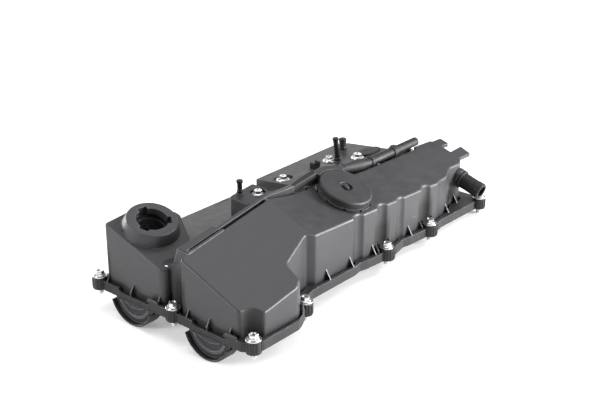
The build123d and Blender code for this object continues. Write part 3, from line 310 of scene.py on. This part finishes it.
def rubber(name, dark, light, rough=0.62, bloom=0.25):
    """Moulded rubber: matt, with a faint grey bloom and a tiny orange-peel."""
    t = Tree(name)
    a = t.noise(120.0, 5.0, 0.65)
    b = t.noise(24.0, 3.0, 0.5)
    dust = t.math("MULTIPLY", t.ramp(a, 0.48, 0.75), bloom)
    col = t.mix(t.ramp(b, 0.35, 0.65), dark, light)
    col = t.mix(dust, col, (0.11, 0.11, 0.112, 1))
    r = t.ramp(a, 0.3, 0.7, rough - 0.07, rough + 0.08)
    n = t.bump(t.noise(900.0, 3.0, 0.6), 0.22, 0.0002, t.bevel(0.0004, 4))
    return t.done(col, r, n, Specular_IOR_Level=0.42)


def metal(name, base, tint, rough=0.27, brush=(1.0, 1.0, 9.0), scale=700.0, dull=0.35, bevel=0.00022):
    """Plated or drawn steel: turning marks, cloudy plating, dull spots and bright rubbed edges."""
    t = Tree(name)
    cloud = t.noise(160.0, 4.0, 0.6)
    marks = t.noise(scale, 3.0, 0.6, vec=t.scaled(*brush))
    spots = t.ramp(t.noise(900.0, 4.0, 0.7), 0.60, 0.74)
    col = t.mix(t.ramp(cloud, 0.33, 0.68), base, tint)
    col = t.mix(t.math("MULTIPLY", spots, dull), col, tuple(0.35 * c for c in base))
    e = t.edge(bevel * 1.4)
    col = t.mix(t.math("MULTIPLY", e, 0.5), col, (0.92, 0.92, 0.90, 1))
    r = t.math("ADD", t.ramp(cloud, 0.3, 0.7, rough - 0.05, rough + 0.10), t.ramp(marks, 0.3, 0.7, -0.04, 0.06))
    n = t.bump(marks, 0.12, 0.00012, t.bevel(bevel, 4))
    return t.done(col, r, n, Metallic=1.0)


M = {}
M["shell_plastic"] = moulded("shell_plastic", (0.0262, 0.0260, 0.0284), (0.0362, 0.0359, 0.0392), rough=0.43, rail=True, bevel=0.0008, wear_and_highlight=0.85, painted_shade=0.72)
M["black_plastic"] = moulded("black_plastic", (0.006, 0.006, 0.0066), (0.011, 0.011, 0.0118), rough=0.46, bevel=0.0003, wear_and_highlight=0.5, spec=0.35)
M["grey_plastic"] = moulded("grey_plastic", (0.013, 0.013, 0.0138), (0.021, 0.021, 0.0222), rough=0.56, bevel=0.0004, wear_and_highlight=0.5, spec=0.30)
M["tube_plastic"] = moulded("tube_plastic", (0.0075, 0.0075, 0.0082), (0.0135, 0.0135, 0.0142), rough=0.50, bevel=0.0004, wear_and_highlight=0.4, streak=(1.5, 60, 60), spec=0.35)
M["cap_plastic"] = moulded("cap_plastic", (0.020, 0.020, 0.0215), (0.031, 0.031, 0.033), rough=0.46, bevel=0.0006, wear_and_highlight=0.8, cap=True)
M["gasket_rubber"] = rubber("gasket_rubber", (0.007, 0.007, 0.007), (0.014, 0.014, 0.0142), 0.55, 0.16)
M["soft_rubber"] = rubber("soft_rubber", (0.004, 0.004, 0.004), (0.009, 0.009, 0.0092), 0.58, 0.10)
M["zinc_steel"] = metal("zinc_steel", (0.60, 0.60, 0.59), (0.74, 0.74, 0.72), 0.26)
M["plain_steel"] = metal("plain_steel", (0.42, 0.42, 0.42), (0.52, 0.52, 0.51), 0.34)
M["spring_steel"] = metal("spring_steel", (0.45, 0.44, 0.42), (0.58, 0.57, 0.55), 0.24)

slot_of = {s["node"]: s["material_slot"] for s in frame["record"]["subparts"]}
for name, ob in nodes.items():
    me = ob.data
    m = M[slot_of[name]]
    if len(me.materials) == 0:
        me.materials.append(m)
    for k in range(len(me.materials)):
        me.materials[k] = m


# ------------------------------------------------------------------ mesh helpers for added pieces
def new_piece(name, bm, slot, body="cover", smooth=True):
    me = bpy.data.meshes.new(name)
    bm.to_mesh(me)
    bm.free()
    ob = bpy.data.objects.new(name, me)
    scene.collection.objects.link(ob)
    me.materials.append(M[slot])
    if smooth:
        for p in me.polygons:
            p.use_smooth = True
    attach(ob, body)
    return ob


def thread(bm, cx, cy, z0, z1, r_in, r_out, pitch, seg=20):
    """A helical ridge round a vertical shaft."""
    n = int((z1 - z0) / pitch * seg)
    rings = []
    for k in range(n + 1):
        a = 2 * pi * k / seg
        z = z0 + (z1 - z0) * k / n
        fade = min(1.0, k / (seg * 0.5), (n - k) / (seg * 0.5))
        ro = r_in + (r_out - r_in) * fade
        c, s = cos(a), sin(a)
        h = pitch * 0.42
        rings.append([bm.verts.new((cx + c * r_in, cy + s * r_in, z - h)),
                      bm.verts.new((cx + c * ro, cy + s * ro, z)),
                      bm.verts.new((cx + c * r_in, cy + s * r_in, z + h))])
    for a, b in zip(rings, rings[1:]):
        bm.faces.new((a[0], b[0], b[1], a[1]))
        bm.faces.new((a[1], b[1], b[2], a[2]))
        bm.faces.new((a[2], b[2], b[0], a[0]))
    for r in (rings[0], rings[-1]):
        bm.faces.new(r)


bm = bmesh.new()
for x, y in BOLTS + INNER:
    thread(bm, x / 1000, y / 1000, -0.0062, 0.012, 0.00292, 0.00325, 0.001)
new_piece("bolt_threads", bm, "zinc_steel")

# short upright ribs round the outer side of each bolt boss
OUT = [135, 180, 225, 250, 270, 270, 300, 90, 90, 90, 90, 60, 0]
LO, HI = Vector(cad_box[0]), Vector(cad_box[1])
bm = bmesh.new()
for (x, y), mid in zip(BOLTS, OUT):
    wide = (x, y) in ((40.7, -98.4), (134.0, -98.4))
    r = (10.4 if wide else 8.8) / 1000
    cx, cy = x / 1000, y / 1000
    for k in range(-4, 5):
        a = radians(mid + k * (21 if wide else 24))
        u, v = Vector((cos(a), sin(a), 0)), Vector((-sin(a), cos(a), 0))
        # the ribs never stand out past the cover itself
        out = 0.00062
        for i in (0, 1):
            if u[i] > 0.05:
                out = min(out, (HI[i] - (cx, cy)[i]) / u[i] - r - 0.00005)
            elif u[i] < -0.05:
                out = min(out, (LO[i] - (cx, cy)[i]) / u[i] - r - 0.00005)
        if out < 0.0002:
            continue
        sec = [(-0.0004, -0.00075), (out * 0.55, -0.00066), (out, -0.00035), (out, 0.00035), (out * 0.55, 0.00066), (-0.0004, 0.00075)]
        rows = []
        for z, f in ((0.0016, 1.0), (0.0126, 1.0), (0.0134, 0.35)):
            rows.append([bm.verts.new(Vector((cx, cy, z)) + u * (r + (d * f if d > 0 else d)) + v * w) for d, w in sec])
        for lo, hi in zip(rows, rows[1:]):
            for i in range(6):
                j = (i + 1) % 6
                bm.faces.new((lo[i], lo[j], hi[j], hi[i]))
        bm.faces.new(rows[0][::-1])
        bm.faces.new(rows[-1])
bmesh.ops.recalc_face_normals(bm, faces=bm.faces)
new_piece("boss_ribs", bm, "black_plastic", smooth=False)

# ------------------------------------------------------------------ spring and diaphragm of the valve, parts that give way to the joint, shown as copies of their CAD meshes in place of the CAD nodes
def stand_in(node, name):
    """A copy of a CAD node's mesh, shown in its place."""
    src = nodes[node]
    me = src.data.copy()
    me.transform(src.matrix_world)
    ob = bpy.data.objects.new(name, me)
    scene.collection.objects.link(ob)
    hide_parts(node)
    return ob


bpy.context.view_layer.update()
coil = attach(stand_in("valve_spring", "valve_coil_spring"), "cover")
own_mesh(coil)
roll = stand_in("valve_diaphragm", "valve_rolling_diaphragm")
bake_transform(roll)

# ------------------------------------------------------------------ floor and light
floor_mat = bpy.data.materials.new("floor")
floor_mat.use_nodes = True
fb = floor_mat.node_tree.nodes["Principled BSDF"]
fb.inputs["Base Color"].default_value = (0.93, 0.93, 0.93, 1)
fb.inputs["Roughness"].default_value = 0.85
fb.inputs["Specular IOR Level"].default_value = 0.1
fb.inputs["Emission Color"].default_value = (1, 1, 1, 1)
fb.inputs["Emission Strength"].default_value = 0.22
me = bpy.data.meshes.new("floor")
tilt = (0.0262 - 0.0081) / 0.47
fz = lambda x: -0.0262 + (x + 0.236) * tilt
S = 14.0
me.from_pydata([(-S, -S, fz(-S)), (S, -S, fz(S)), (S, S, fz(S)), (-S, S, fz(-S))], [], [(0, 1, 2, 3)])
floor = bpy.data.objects.new("floor", me)
scene.collection.objects.link(floor)
me.materials.append(floor_mat)

world = bpy.data.worlds.new("studio")
scene.world = world
world.use_nodes = True
bg = world.node_tree.nodes["Background"]
bg.inputs["Color"].default_value = (0.97, 0.97, 1.0, 1)
bg.inputs["Strength"].default_value = 0.27


def area(name, loc, target, size, power, color=(1, 1, 1)):
    d = bpy.data.lights.new(name, "AREA")
    d.shape = "RECTANGLE"
    d.size, d.size_y = size
    d.energy = power
    d.color = color
    o = bpy.data.objects.new(name, d)
    o.location = loc
    o.rotation_euler = (Vector(target) - Vector(loc)).to_track_quat("-Z", "Y").to_euler()
    scene.collection.objects.link(o)
    return o


area("key", (1.80, -2.30, 0.56), (0, 0, 0.03), (1.0, 0.9), 200)
area("edge", (2.2, -1.1, 1.85), (0, 0, 0.05), (0.7, 0.7), 28)
area("near", (0.5, -2.6, 1.6), (0, 0, 0), (1.6, 1.0), 24)
area("left", (-2.7, 1.1, 1.2), (0, 0, 0), (1.2, 0.9), 54)
area("top", (0.2, 0.3, 2.9), (0, 0, 0), (2.6, 2.6), 42)
area("rim", (-0.45, 3.0, 0.42), (-0.08, 0, 0.05), (1.5, 0.7), 75)
area("back", (1.7, 2.3, 1.2), (0, 0, 0.05), (2.4, 0.8), 12)

scene.view_settings.view_transform = "Standard"
